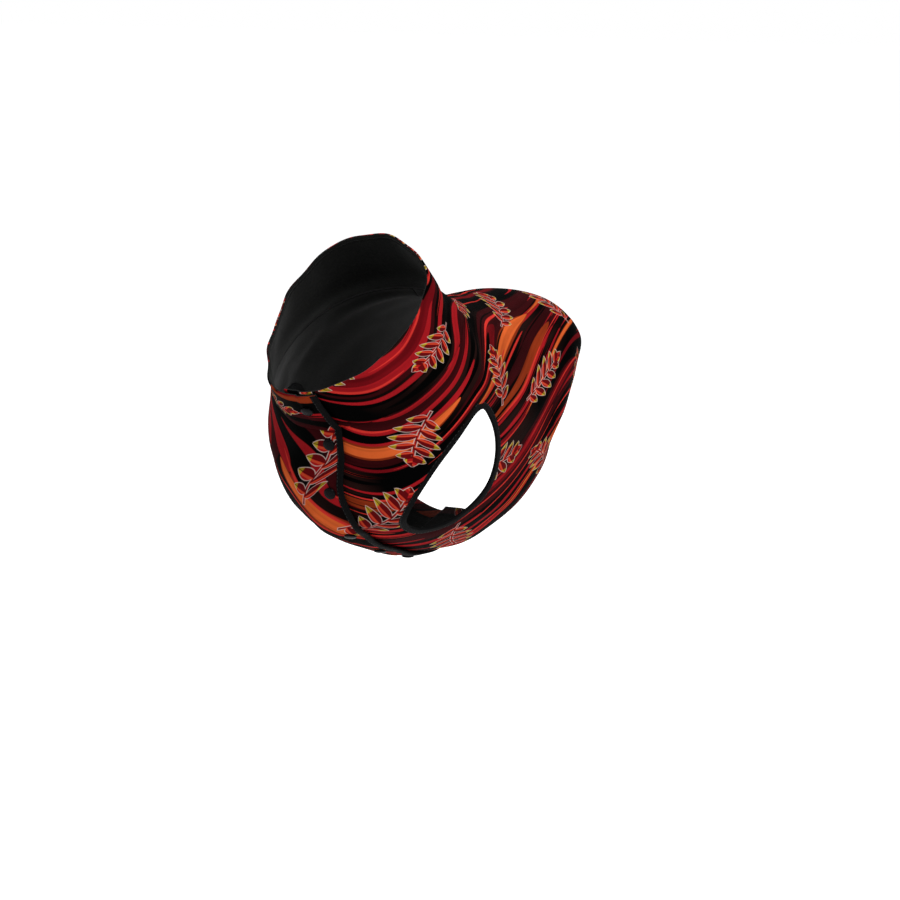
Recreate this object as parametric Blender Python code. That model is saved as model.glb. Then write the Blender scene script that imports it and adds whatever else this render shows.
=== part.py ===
"""Dog jacket, worn: two body halves, a stand-up collar with its lining, bound edges and a snap front.

Metres. +Z is up, the wearer faces -Y and its left side is +X. The origin is on the inner face
of the back, at the foot of the collar, where the jacket rests on the withers.
"""

import math

import bmesh
import bpy
import numpy as np
from mathutils import Matrix, Vector

# ---------------------------------------------------------------- driving sizes
CLOTH = 0.0024  # shell cloth with what backs it
SEAM_GAP = 0.0003  # between pieces that meet
COLLAR_LAYER = (CLOTH - SEAM_GAP) / 2  # the collar's printed face, and its lining
TAPE = 0.0010
ARMHOLE_TAPE_WIDTH = 0.0050
FRONT_TAPE_WIDTH = 0.0042
LAP = 0.028  # how far the left front runs on under the right one
LAP_LIFT = CLOTH + 2 * SEAM_GAP + TAPE  # how far the right front lies outside the left one
LAP_RAMP = 0.034  # the length over which it climbs there
LAP_LEVEL = 0.002  # how far past the left front's edge it starts to climb
HEM_ROLL = 0.0008  # how far the middle of a turned edge bulges
RIM_TURN = 0.0022  # height of the turned edge above the collar's lining
SNAP_RADIUS = 0.0048
SNAP_HEIGHT = 0.0022
# A snap cap's outline, in shares of its radius and its height.
SNAP_PROFILE = ((1.0, 0.0), (1.0, 0.28), (0.90, 0.55), (0.62, 0.86), (0.3, 0.97))

# The jacket follows one tube through these sections, from the hem to the collar's rim.
# Each section is an oval from a point on the back to a point on the underside.
SECTION_COLUMNS = (
    "back_y", "back_z", "under_y", "under_z", "half_width", "squareness", "low_slung", "flank_y",
    "front_edge",
)
SECTIONS = {
    "hem": (0.2009, -0.0414, 0.0747, -0.1924, 0.0721, 2.93, -0.02, -0.025, 0.0150),
    "loin": (0.1681, -0.0237, 0.0315, -0.2036, 0.0800, 2.57, 0.00, -0.007, 0.0150),
    "last_rib": (0.1319, -0.0163, -0.0073, -0.2083, 0.0825, 2.21, 0.02, 0.000, 0.0150),
    "ribs": (0.0994, -0.0152, -0.0422, -0.2008, 0.0846, 2.02, 0.04, 0.001, 0.0160),
    "shoulders": (0.0702, -0.0145, -0.0846, -0.1851, 0.0868, 2.04, 0.04, 0.000, 0.0175),
    "breast": (0.0478, -0.0120, -0.1137, -0.1688, 0.0868, 2.05, 0.03, 0.000, 0.0198),
    "upper_chest": (0.0275, -0.0088, -0.1275, -0.1414, 0.0855, 2.08, 0.02, -0.003, 0.0155),
    "throat": (0.0108, -0.0064, -0.1300, -0.1145, 0.0802, 2.09, 0.00, -0.003, 0.0172),
    "neck_seam": (0.0000, 0.0011, -0.1353, -0.0882, 0.0740, 2.16, -0.01, -0.001, 0.0180),
    "mid_collar": (-0.0248, 0.0241, -0.1545, -0.0717, 0.0664, 1.98, -0.02, 0.006, 0.0150),
    "rim": (-0.0529, 0.0479, -0.1682, -0.0579, 0.0593, 2.08, -0.04, 0.016, 0.0150),
}

# The edge of an armhole: (section from the hem, share of the way from spine to centre front).
ARMHOLE = {
    "top": (5.24, 0.484),
    "rear_top": (4.50, 0.508),
    "rear_upper": (3.76, 0.575),
    "rear": (3.32, 0.668),
    "rear_lower": (3.30, 0.765),
    "rear_bottom": (3.62, 0.833),
    "bottom": (4.12, 0.852),
    "front_bottom": (4.73, 0.830),
    "front_lower": (5.27, 0.766),
    "front": (5.67, 0.676),
    "front_upper": (5.77, 0.578),
    "front_top": (5.63, 0.510),
}

# Snaps: (section from the hem, metres from the right front's edge).
SNAPS = {
    "snap_1": (9.15, 0.0115),
    "snap_2": (7.52, 0.0095),
    "snap_3": (6.08, 0.0095),
    "snap_4": (4.72, 0.0112),
    "snap_5": (3.45, 0.0098),
    "snap_6": (2.28, 0.0098),
    "snap_7": (1.12, 0.0098),
}

# ---------------------------------------------------------------- steps of the meshes
SPINE_STEPS = 18
NECK_STEPS = 18
FRONT_STEPS = 28
HEM_STEPS = 20
RINGS = 9
TAPED_RING = 0.0095  # the first ring round an armhole, wide enough for its tape to lie on
LAP_COLUMNS = (0.0, -0.0068, -0.014, -0.021, -LAP)  # columns of the laps, from the right front's edge
RIGHT_BAND = -0.045  # where a half's rays end and its front band begins, from the same edge
LEFT_BAND = 0.014
COLLAR_STEPS = 36
COLLAR_ROWS = (8.0, 8.34, 8.67, 9.0, 9.34, 9.67)  # sections
SNAP_STEPS = 16

COLUMN = {name: i for i, name in enumerate(SECTION_COLUMNS)}
TABLE = np.array(list(SECTIONS.values()))
SEAM = list(SECTIONS).index("neck_seam")
RIM = len(TABLE) - 1
OVAL_ANGLES = np.linspace(0, math.pi, 181)


# ---------------------------------------------------------------- the tube
def section(u, part):
    """The section at u, on smooth curves through the table, broken at the neck seam."""
    first, last = (0, SEAM) if part == "body" else (SEAM, RIM)
    i = int(np.clip(math.floor(u), first, last - 1))
    t = u - i
    here, there = TABLE[i], TABLE[i + 1]
    before = TABLE[i - 1] if i > first else 2 * here - there
    after = TABLE[i + 2] if i + 2 <= last else 2 * there - here
    slope_here, slope_there = (there - before) / 2, (after - here) / 2
    return (
        (2 * t**3 - 3 * t**2 + 1) * here
        + (t**3 - 2 * t**2 + t) * slope_here
        + (3 * t**2 - 2 * t**3) * there
        + (t**3 - t**2) * slope_there
    )


def half_oval(u, part):
    """Points of the left half of a section, from the back round to the underside."""
    row = section(u, part)
    back = np.array([0, row[COLUMN["back_y"]], row[COLUMN["back_z"]]])
    under = np.array([0, row[COLUMN["under_y"]], row[COLUMN["under_z"]]])
    power = 2 / row[COLUMN["squareness"]]
    across = np.abs(np.sin(OVAL_ANGLES)) ** power
    along = np.sign(np.cos(OVAL_ANGLES)) * np.abs(np.cos(OVAL_ANGLES)) ** power
    across = across * (1 - row[COLUMN["low_slung"]] * along)
    points = (back + under) / 2 + np.outer(along, (back - under) / 2)
    points[:, 0] = row[COLUMN["half_width"]] * across
    points[:, 1] += row[COLUMN["flank_y"]] * np.sin(OVAL_ANGLES) ** 2
    return points


def run_lengths(points):
    return np.concatenate([[0], np.cumsum(np.linalg.norm(np.diff(points, axis=0), axis=1))])


def half_girth(u, part):
    return float(run_lengths(half_oval(u, part))[-1])


def tube_point(u, v, part):
    """A point of the middle of the cloth. v is 0 on the spine and 1 on the front's centre line,
    positive on the left side; past 1 it runs on over the centre line."""
    side = 1 if v >= 0 else -1
    share = abs(v)
    if share > 1:
        side, share = -side, 2 - share
    points = half_oval(u, part)
    run = run_lengths(points)
    point = np.array([np.interp(share * run[-1], run, points[:, axis]) for axis in range(3)])
    point[0] *= side
    return point


def unit(vector):
    return vector / np.linalg.norm(vector)


def tube_normal(u, v, part):
    along = tube_point(u + 0.02, v, part) - tube_point(u - 0.02, v, part)
    around = tube_point(u, v + 0.012, part) - tube_point(u, v - 0.012, part)
    return unit(np.cross(along, around))


def smooth_step(x):
    x = min(max(x, 0.0), 1.0)
    return x * x * (3 - 2 * x)


def lap_lift(u, v, part):
    """How far the right front lies outside the tube, where it laps over the left one."""
    if v >= 0:
        return 0.0
    from_edge = (abs(v) - 1) * half_girth(u, part) - section(u, part)[COLUMN["front_edge"]]
    return LAP_LIFT * smooth_step((from_edge + LAP + LAP_LEVEL + LAP_RAMP) / LAP_RAMP)


def cloth(u, v, part):
    """(middle of the cloth, normal); on the neck seam the normal is shared by body and collar."""
    if abs(u - SEAM) < 1e-6:
        body, collar = tube_normal(SEAM, v, "body"), tube_normal(SEAM, v, "collar")
        normal = unit(body + collar)
        normal = normal / float(normal @ body)
        along = unit(tube_point(SEAM + 0.1, v, "collar") - tube_point(SEAM - 0.1, v, "body"))
        shift = along * (SEAM_GAP / 2 * (1 if part == "collar" else -1))
        point = tube_point(SEAM, v, part) + shift
    else:
        point, normal = tube_point(u, v, part), tube_normal(u, v, part)
    return point + normal * lap_lift(u, v, part), normal


def share_at(u, part, side, from_edge):
    """Share of a side's half girth at a distance to the left of the right front's edge."""
    past_centre = section(u, part)[COLUMN["front_edge"]] + from_edge
    return 1 - side * past_centre / half_girth(u, part)


# ---------------------------------------------------------------- building solids
def material(name, colour, roughness):
    made = bpy.data.materials.new(name)
    made.use_nodes = True
    shader = made.node_tree.nodes["Principled BSDF"]
    shader.inputs["Base Color"].default_value = (*colour, 1)
    shader.inputs["Roughness"].default_value = roughness
    made.diffuse_color = (*colour, 1)
    return made


def solid(name, verts, faces, colour, roughness):
    """One closed body with its own material."""
    mesh = bpy.data.meshes.new(name)
    mesh.from_pydata([tuple(map(float, v)) for v in verts], [], faces)
    bm = bmesh.new()
    bm.from_mesh(mesh)
    bmesh.ops.recalc_face_normals(bm, faces=bm.faces)
    if bm.calc_volume(signed=True) < 0:
        bmesh.ops.reverse_faces(bm, faces=bm.faces)
    bm.to_mesh(mesh)
    bm.free()
    mesh.materials.append(material(name, colour, roughness))
    body = bpy.data.objects.new(name, mesh)
    bpy.context.scene.collection.objects.link(body)
    return body


def thicken(points, normals, quads, rolled):
    """Verts and faces of a sheet's solid; the edges in rolled are rounded like a turned hem.
    Each quad is split from its first corner to its third, on both faces of the sheet."""
    points, normals = np.array(points), np.array(normals)
    count = len(points)
    verts = list(points + normals * CLOTH / 2) + list(points - normals * CLOTH / 2)
    faces = []
    for a, b, c, d in quads:
        faces += [(a, b, c), (a, c, d)]
        faces += [(c + count, b + count, a + count), (d + count, c + count, a + count)]
    directed = {(q[i], q[(i + 1) % len(q)]) for q in quads for i in range(len(q))}
    border = [(a, b) for a, b in sorted(directed) if (b, a) not in directed]
    middle = {}
    before = {b: a for a, b in border}
    after = {a: b for a, b in border}
    for i in sorted(rolled):
        both = before[i] in rolled and after[i] in rolled
        outward = unit(np.cross(unit(points[after[i]] - points[before[i]]), normals[i]))
        middle[i] = len(verts)
        verts.append(points[i] + outward * (HEM_ROLL if both else 0))
    for a, b in border:
        wall = [b, a]
        if a in middle:
            wall.append(middle[a])
        wall += [a + count, b + count]
        if b in middle:
            wall.append(middle[b])
        if a in middle and b in middle:
            faces.append((b, a, middle[a], middle[b]))
            faces.append((middle[b], middle[a], a + count, b + count))
        else:
            faces.append(tuple(wall))
    return verts, faces


def end_face(first, size, layered):
    """Faces that close a swept section: one flat face, or a ladder between two layers' rows."""
    if not layered:
        return [tuple(range(first, first + size))]
    faces = []
    for j in range(size // 2 - 1):
        a, b = first + j, first + j + 1
        c, d = first + size - 2 - j, first + size - 1 - j
        faces += [(a, b, c), (a, c, d)]
    return faces


def sweep(sections, depths, rising, closed, layered=False):
    """Verts and faces of a section carried along a line. Each quad is split from the lesser to
    the greater of its depths if rising, or else the other way, so that layers lie alike."""
    size = len(sections[0])
    verts = [point for one in sections for point in one]
    faces = []
    count = len(sections)
    for i in range(count if closed else count - 1):
        here, there = i * size, (i + 1) % count * size
        for j in range(size):
            k = (j + 1) % size
            a, b, c, d = here + j, here + k, there + k, there + j
            if (depths[j] <= depths[k]) == rising:
                faces += [(a, b, c), (a, c, d)]
            else:
                faces += [(a, b, d), (b, c, d)]
    if not closed:
        faces += end_face(0, size, layered) + end_face((count - 1) * size, size, layered)
    return verts, faces


TAPE_DEPTHS = (1, 1, 0, 0, 0, 0, 1, 1, 0, 0)


def tape_section(edge, edge_normal, inner, inner_normal, tangent, width):
    """Section of a tape folded over an edge. edge and inner are two points of the cloth's
    middle, on the edge and further in."""
    across = inner - edge
    reach = np.linalg.norm(across - tangent * float(across @ tangent))
    share = width / reach
    end, end_normal = edge + across * share, edge_normal + (inner_normal - edge_normal) * share
    inward = unit(across - tangent * float(across @ tangent))
    inside = CLOTH / 2 + SEAM_GAP
    outside = inside + TAPE
    start = edge + across * (0.0001 / reach)
    return [
        end + end_normal * inside,
        end + end_normal * outside,
        start + edge_normal * outside,
        edge - inward * (SEAM_GAP + TAPE) + edge_normal * CLOTH / 2,
        edge - inward * (SEAM_GAP + TAPE) - edge_normal * CLOTH / 2,
        start - edge_normal * outside,
        end - end_normal * outside,
        end - end_normal * inside,
        edge - inward * SEAM_GAP - edge_normal * inside,
        edge - inward * SEAM_GAP + edge_normal * inside,
    ]


# ---------------------------------------------------------------- the body halves
def smooth_loop(knots, count):
    """Evenly counted points on a smooth closed curve through the knots."""
    knots = np.array(knots)
    n = len(knots)
    loop = []
    for k in range(count):
        at = k * n / count
        i = int(at)
        t = at - i
        p0, p1, p2, p3 = (knots[(i + j) % n] for j in (-1, 0, 1, 2))
        loop.append(
            0.5 * (2 * p1 + (p2 - p0) * t + (2 * p0 - 5 * p1 + 4 * p2 - p3) * t**2
                   + (3 * p1 - p0 - 3 * p2 + p3) * t**3)
        )
    return np.array(loop)


METRIC = np.array([0.030, 0.310])  # metres a section and a share stand for


def outline(side):
    """A half's outline but for its front band, from the hem on the spine: spine, neck, front, hem."""
    points = []
    for i in range(SPINE_STEPS):
        points.append((SEAM * i / SPINE_STEPS, "spine"))
    for i in range(NECK_STEPS):
        points.append((i / NECK_STEPS, "neck"))
    for i in range(FRONT_STEPS):
        points.append((SEAM * (1 - i / FRONT_STEPS), "front"))
    for i in range(HEM_STEPS):
        points.append((1 - i / HEM_STEPS, "hem"))
    result = []
    for at, edge in points:
        u = {"neck": SEAM, "hem": 0.0}.get(edge, at)
        low = SEAM_GAP / 2 / half_girth(u, "body")
        high = share_at(u, "body", side, LEFT_BAND if side > 0 else RIGHT_BAND)
        share = {"spine": low, "front": high}.get(edge, low + (high - low) * at)
        result.append((u, share))
    return np.array(result)


def angles_from(centre, points):
    flat = (points - centre) * METRIC
    return np.unwrap(np.arctan2(flat[:, 1], flat[:, 0]))


def armhole_for(border):
    """A point of the armhole's edge for each point of the border, at rays that never cross."""
    fine = smooth_loop(list(ARMHOLE.values()), 720)
    centre = fine.mean(axis=0)
    angle = angles_from(centre, fine)
    if angle[-1] < angle[0]:
        fine = fine[::-1]
        angle = angles_from(centre, fine)
    wanted = angles_from(centre, border)
    if wanted[-1] < wanted[0]:
        raise ValueError("the outline must run the same way round as the armhole")
    turn = 2 * math.pi
    run = run_lengths(np.vstack([fine, fine[:1]]) * METRIC)
    angle = np.concatenate([angle, [angle[0] + turn]])
    whole = run[-1]
    by_angle = []
    for value in wanted:
        laps = math.floor((value - angle[0]) / turn)
        by_angle.append(laps * whole + np.interp(value - laps * turn, angle, run))
    by_angle = np.array(by_angle)
    even = np.arange(len(border)) * whole / len(border)
    even = even + (by_angle - even).mean()
    at = (0.55 * by_angle + 0.45 * even) % whole
    closed = np.vstack([fine, fine[:1]])
    return np.stack([np.interp(at, run, closed[:, axis]) for axis in range(2)], axis=1)


def body_half(side):
    """(points, normals, quads, rolled, ring 0 and ring 1 indices, front edge indices by row)"""
    border = outline(side)
    holes = armhole_for(border)
    count = len(border)
    points, normals, quads = [], [], []

    def add(u, share):
        point, normal = cloth(u, side * share, "body")
        points.append(point)
        normals.append(normal)
        return len(points) - 1

    edge = [cloth(*(hole * (1, side)), "body")[0] for hole in holes]
    rings = [[] for _ in range(RINGS + 1)]
    for k in range(count):
        tangent = unit(edge[(k + 1) % count] - edge[k - 1])
        near = holes[k] + 0.1 * (border[k] - holes[k])
        ray = (cloth(*(near * (1, side)), "body")[0] - edge[k]) / 0.1
        reach = np.linalg.norm(ray - tangent * float(ray @ tangent))
        first = min(TAPED_RING / reach, 0.85)
        for ring in range(RINGS + 1):
            t = 0.0 if ring == 0 else first + (1 - first) * (ring - 1) / (RINGS - 1)
            u, share = holes[k] + t * (border[k] - holes[k])
            if ring == RINGS:
                u, share = border[k]
            rings[ring].append(add(float(u), float(share)))
    for ring in range(RINGS):
        for k in range(count):
            after = (k + 1) % count
            quads.append((rings[ring][k], rings[ring][after], rings[ring + 1][after], rings[ring + 1][k]))

    first_front = SPINE_STEPS + NECK_STEPS
    band = [rings[RINGS][(first_front + i) % count] for i in range(FRONT_STEPS + 1)]
    rows = [SEAM * (1 - i / FRONT_STEPS) for i in range(FRONT_STEPS + 1)]
    grid = [band]
    for from_edge in LAP_COLUMNS if side > 0 else reversed(LAP_COLUMNS):
        grid.append([add(u, share_at(u, "body", side, from_edge)) for u in rows])
    for near, far in zip(grid, grid[1:]):
        for i in range(FRONT_STEPS):
            quad = (near[i], near[i + 1], far[i + 1], far[i])
            quads.append(quad if side < 0 else quad[1:] + quad[:1])

    hem = [rings[RINGS][k] for k in range(first_front + FRONT_STEPS, count)]
    hem.append(rings[RINGS][0])
    rolled = set(hem) | {column[-1] for column in grid}
    return points, normals, quads, rolled, rings, grid, rows


# ---------------------------------------------------------------- the scene
for old in list(bpy.data.objects):
    bpy.data.objects.remove(old, do_unlink=True)

PRINT_RED = (0.30, 0.03, 0.02)
LINING_BLACK = (0.012, 0.012, 0.014)
TAPE_BLACK = (0.016, 0.016, 0.018)
SNAP_GREY = (0.03, 0.034, 0.045)

front_rows = []
for side, word in ((1, "left"), (-1, "right")):
    points, normals, quads, rolled, rings, grid, rows = body_half(side)
    verts, faces = thicken(points, normals, quads, rolled)
    solid("body_" + word, verts, faces, PRINT_RED, 0.55)
    tape = []
    ring = rings[0]
    for k in range(len(ring)):
        tangent = unit(points[ring[(k + 1) % len(ring)]] - points[ring[k - 1]])
        inner = rings[1][k]
        tape.append(tape_section(points[ring[k]], normals[ring[k]], points[inner], normals[inner],
                                 tangent, ARMHOLE_TAPE_WIDTH))
    verts, faces = sweep(tape, TAPE_DEPTHS, rising=True, closed=True)
    solid("armhole_binding_" + word, verts, faces, TAPE_BLACK, 0.7)
    if side < 0:
        for i in range(len(rows)):
            front_rows.append((points[grid[-1][i]], normals[grid[-1][i]],
                               points[grid[-2][i]], normals[grid[-2][i]]))

# Collar: columns run from the left front's end round the back to the right front's end.
collar_columns = [(1, from_edge) for from_edge in reversed(LAP_COLUMNS)]
collar_columns += [(0, i / COLLAR_STEPS) for i in range(COLLAR_STEPS + 1)]
collar_columns += [(-1, from_edge) for from_edge in reversed(LAP_COLUMNS)]


def collar_share(u, column):
    """Signed share of a column: metric beside the front's edge, even all round the back."""
    side, at = column
    if side:
        return side * share_at(u, "collar", side, at)
    left, right = share_at(u, "collar", 1, LEFT_BAND), -share_at(u, "collar", -1, RIGHT_BAND)
    return left + (right - left) * at


def height_step(v):
    """Sections per metre of the collar's height, at its rim."""
    return 0.2 / np.linalg.norm(tube_point(RIM, v, "collar") - tube_point(RIM - 0.2, v, "collar"))


OUTER = CLOTH / 2
FACE_INSIDE = OUTER - COLLAR_LAYER
LINING_OUTSIDE = FACE_INSIDE - SEAM_GAP
LINING_INSIDE = LINING_OUTSIDE - COLLAR_LAYER
face_sections, lining_sections, collar_edge = [], [], []
for column in collar_columns:
    face_outer, face_inner, lining_outer, lining_inner = [], [], [], []
    turn = RIM - RIM_TURN * height_step(collar_share(RIM, column))
    lining_top = turn - SEAM_GAP * height_step(collar_share(RIM, column))
    for u in COLLAR_ROWS:
        point, normal = cloth(u, collar_share(u, column), "collar")
        face_outer.append(point + normal * OUTER)
        face_inner.append(point + normal * FACE_INSIDE)
        lining_outer.append(point + normal * LINING_OUTSIDE)
        lining_inner.append(point + normal * LINING_INSIDE)
    point, normal = cloth(lining_top, collar_share(lining_top, column), "collar")
    lining_outer.append(point + normal * LINING_OUTSIDE)
    lining_inner.append(point + normal * LINING_INSIDE)
    point, normal = cloth(turn, collar_share(turn, column), "collar")
    top, top_normal = cloth(RIM, collar_share(RIM, column), "collar")
    upward = unit(top - point)
    face_outer += [
        point + normal * OUTER,
        top + top_normal * OUTER * 0.6,
        top + upward * HEM_ROLL * 0.6 - top_normal * OUTER * 0.1,
        top - top_normal * OUTER * 0.8,
        point - normal * OUTER,
        point + normal * FACE_INSIDE,
    ]
    face_sections.append(face_outer + face_inner[::-1])
    lining_sections.append(lining_outer + lining_inner[::-1])
    if column[0] < 0 and column[1] in LAP_COLUMNS[:2]:
        rows = list(COLLAR_ROWS) + [turn, RIM]
        collar_edge.append([cloth(u, collar_share(u, column), "collar") for u in rows])
up = list(range(len(COLLAR_ROWS)))
top = len(up)
depths = up + [top, top + 1, top + 2, top + 1, top, top] + up[::-1]
verts, faces = sweep(face_sections, depths, rising=False, closed=False, layered=True)
solid("collar", verts, faces, PRINT_RED, 0.55)
depths = up + [top, top] + up[::-1]
verts, faces = sweep(lining_sections, depths, rising=False, closed=False, layered=True)
solid("collar_lining", verts, faces, LINING_BLACK, 0.7)

# The right front's bound edge, from the hem up over the neck seam to the rim.
near_column, edge_column = collar_edge
edge_rows = front_rows[::-1]
edge_rows += [(edge[0], edge[1], near[0], near[1]) for edge, near in zip(edge_column, near_column)]
sections = []
for i, row in enumerate(edge_rows):
    before, after = edge_rows[max(i - 1, 0)][0], edge_rows[min(i + 1, len(edge_rows) - 1)][0]
    sections.append(tape_section(*row, unit(after - before), FRONT_TAPE_WIDTH))
verts, faces = sweep(sections, TAPE_DEPTHS, rising=True, closed=False)
solid("front_edge_binding", verts, faces, TAPE_BLACK, 0.7)

# Snap caps on the right front.
for name, (u, from_edge) in SNAPS.items():
    part = "body" if u < SEAM else "collar"
    point, normal = cloth(u, -share_at(u, part, -1, -from_edge), part)
    base = Vector(point + normal * (CLOTH / 2 + SEAM_GAP))
    place = Matrix.Translation(base) @ Vector(normal).to_track_quat("Z", "Y").to_matrix().to_4x4()
    verts = []
    for radius, height in SNAP_PROFILE:
        for k in range(SNAP_STEPS):
            angle = 2 * math.pi * k / SNAP_STEPS
            local = Vector((
                SNAP_RADIUS * radius * math.cos(angle),
                SNAP_RADIUS * radius * math.sin(angle),
                SNAP_HEIGHT * height,
            ))
            verts.append(place @ local)
    rings = len(SNAP_PROFILE)
    faces = [tuple(range(SNAP_STEPS))]
    for ring in range(rings - 1):
        for k in range(SNAP_STEPS):
            after = (k + 1) % SNAP_STEPS
            here, there = ring * SNAP_STEPS, (ring + 1) * SNAP_STEPS
            faces.append((here + k, here + after, there + after, there + k))
    faces.append(tuple(range((rings - 1) * SNAP_STEPS, rings * SNAP_STEPS)))
    solid(name, verts, faces, SNAP_GREY, 0.35)
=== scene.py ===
import math
from collections import namedtuple

import bmesh
import bpy
import numpy as np
from mathutils import Matrix, Vector


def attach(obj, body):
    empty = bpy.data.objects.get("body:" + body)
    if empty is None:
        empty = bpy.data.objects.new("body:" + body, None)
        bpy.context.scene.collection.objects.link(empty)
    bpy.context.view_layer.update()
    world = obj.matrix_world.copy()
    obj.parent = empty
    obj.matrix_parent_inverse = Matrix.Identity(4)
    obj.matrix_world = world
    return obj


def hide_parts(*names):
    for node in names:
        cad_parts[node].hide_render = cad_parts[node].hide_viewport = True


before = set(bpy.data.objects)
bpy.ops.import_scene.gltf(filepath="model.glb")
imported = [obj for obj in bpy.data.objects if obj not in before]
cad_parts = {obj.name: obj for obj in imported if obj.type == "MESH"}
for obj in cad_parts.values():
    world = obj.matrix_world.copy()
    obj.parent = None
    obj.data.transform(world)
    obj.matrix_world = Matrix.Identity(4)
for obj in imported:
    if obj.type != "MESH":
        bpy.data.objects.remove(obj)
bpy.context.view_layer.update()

# ------ sizes, in metres
CLOTH = 0.0024
SEAM_GAP = 0.0003
SEAM_BITE = 0.00012  # how far the body's cloth presses into the next piece at a sewn edge
COLLAR_LAYER = (CLOTH - SEAM_GAP) / 2  # face cloth or lining
TAPE = 0.0010
ARMHOLE_TAPE_WIDTH = 0.0050
FRONT_TAPE_WIDTH = 0.0042
LAP = 0.028  # how far the right front laps over the left one
LAP_LIFT = CLOTH + 2 * SEAM_GAP + TAPE
LAP_RAMP = 0.034  # width over which the right front rises to that height
LAP_LEVEL = 0.002  # how far before the left front's edge it is up
HEM_TURN = 0.013  # width of the hem turned to the inside
HEM_THICKER, HEM_SOFT = 0.0006, 0.002  # how far the turned hem stands proud inside, and its step
PRESSED = 0.45  # the cloth's thickness inside a tape's fold, as a share of its own
PRESSED_REACH = 0.009  # how far from the edge the cloth is back to its own thickness
TAPE_LAYER = 0.00065  # one layer of the tape as it lies, sewn down
TAPE_LIFT = 0.00005  # between the cloth and the tape over it
STITCH_PITCH, STITCH_LENGTH, STITCH_THICKNESS = 0.0030, 0.0022, 0.00045
RIM_TURN = 0.0022  # width of the collar's rim turned in over the lining
RIM_ROUND, RIM_BULGE = 0.0006, 0.0005  # where the rim's rounding begins, and its height
NECK_WAIST = 0.0125  # height above the neck seam at which the collar draws in most
NECK_PULL = 0.0046  # how far it draws in there
NECK_PULL_REACH = 0.0105
SNAP_RADIUS = 0.0048
SNAP_HEIGHT = 0.0022
SNAP_LIFT = 0.0001  # between the cloth and the cap on it
MERGE = 1e-6  # vertices closer than this become one

# Sections of the jacket's tube, hem to rim: an oval from a point on the back to one underneath.
Section = namedtuple(
    "Section", "back_y back_z under_y under_z half_width squareness low_slung flank_y front_edge"
)
SECTIONS = {
    "hem": (0.2009, -0.0414, 0.0747, -0.1924, 0.0721, 2.93, -0.02, -0.025, 0.0150),
    "loin": (0.1681, -0.0237, 0.0315, -0.2036, 0.0800, 2.57, 0.00, -0.007, 0.0150),
    "last_rib": (0.1319, -0.0163, -0.0073, -0.2083, 0.0825, 2.21, 0.02, 0.000, 0.0150),
    "ribs": (0.0994, -0.0152, -0.0422, -0.2008, 0.0846, 2.02, 0.04, 0.001, 0.0160),
    "shoulders": (0.0702, -0.0145, -0.0846, -0.1851, 0.0868, 2.04, 0.04, 0.000, 0.0175),
    "breast": (0.0478, -0.0120, -0.1137, -0.1688, 0.0868, 2.05, 0.03, 0.000, 0.0198),
    "upper_chest": (0.0275, -0.0088, -0.1275, -0.1414, 0.0855, 2.08, 0.02, -0.003, 0.0155),
    "throat": (0.0108, -0.0064, -0.1300, -0.1145, 0.0802, 2.09, 0.00, -0.003, 0.0172),
    "neck_seam": (0.0000, 0.0011, -0.1353, -0.0882, 0.0740, 2.16, -0.01, -0.001, 0.0180),
    "mid_collar": (-0.0248, 0.0241, -0.1545, -0.0717, 0.0664, 1.98, -0.02, 0.006, 0.0150),
    "rim": (-0.0529, 0.0479, -0.1682, -0.0579, 0.0593, 2.08, -0.04, 0.016, 0.0150),
}
TABLE = np.array(list(SECTIONS.values()))
SEAM = list(SECTIONS).index("neck_seam")
RIM = len(TABLE) - 1

# The armhole's edge: sections from the hem, and shares of the way from spine to centre front.
ARMHOLE = {
    "top": (5.24, 0.484),
    "rear_top": (4.50, 0.508),
    "rear_upper": (3.76, 0.575),
    "rear": (3.32, 0.668),
    "rear_lower": (3.30, 0.765),
    "rear_bottom": (3.62, 0.833),
    "bottom": (4.12, 0.852),
    "front_bottom": (4.73, 0.830),
    "front_lower": (5.27, 0.766),
    "front": (5.67, 0.676),
    "front_upper": (5.77, 0.578),
    "front_top": (5.63, 0.510),
}

# Snaps: sections from the hem, and metres from the right front's edge.
SNAPS = {
    "snap_1": (9.15, 0.0115),
    "snap_2": (7.52, 0.0095),
    "snap_3": (6.08, 0.0095),
    "snap_4": (4.72, 0.0112),
    "snap_5": (3.45, 0.0098),
    "snap_6": (2.28, 0.0098),
    "snap_7": (1.12, 0.0098),
}

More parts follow.
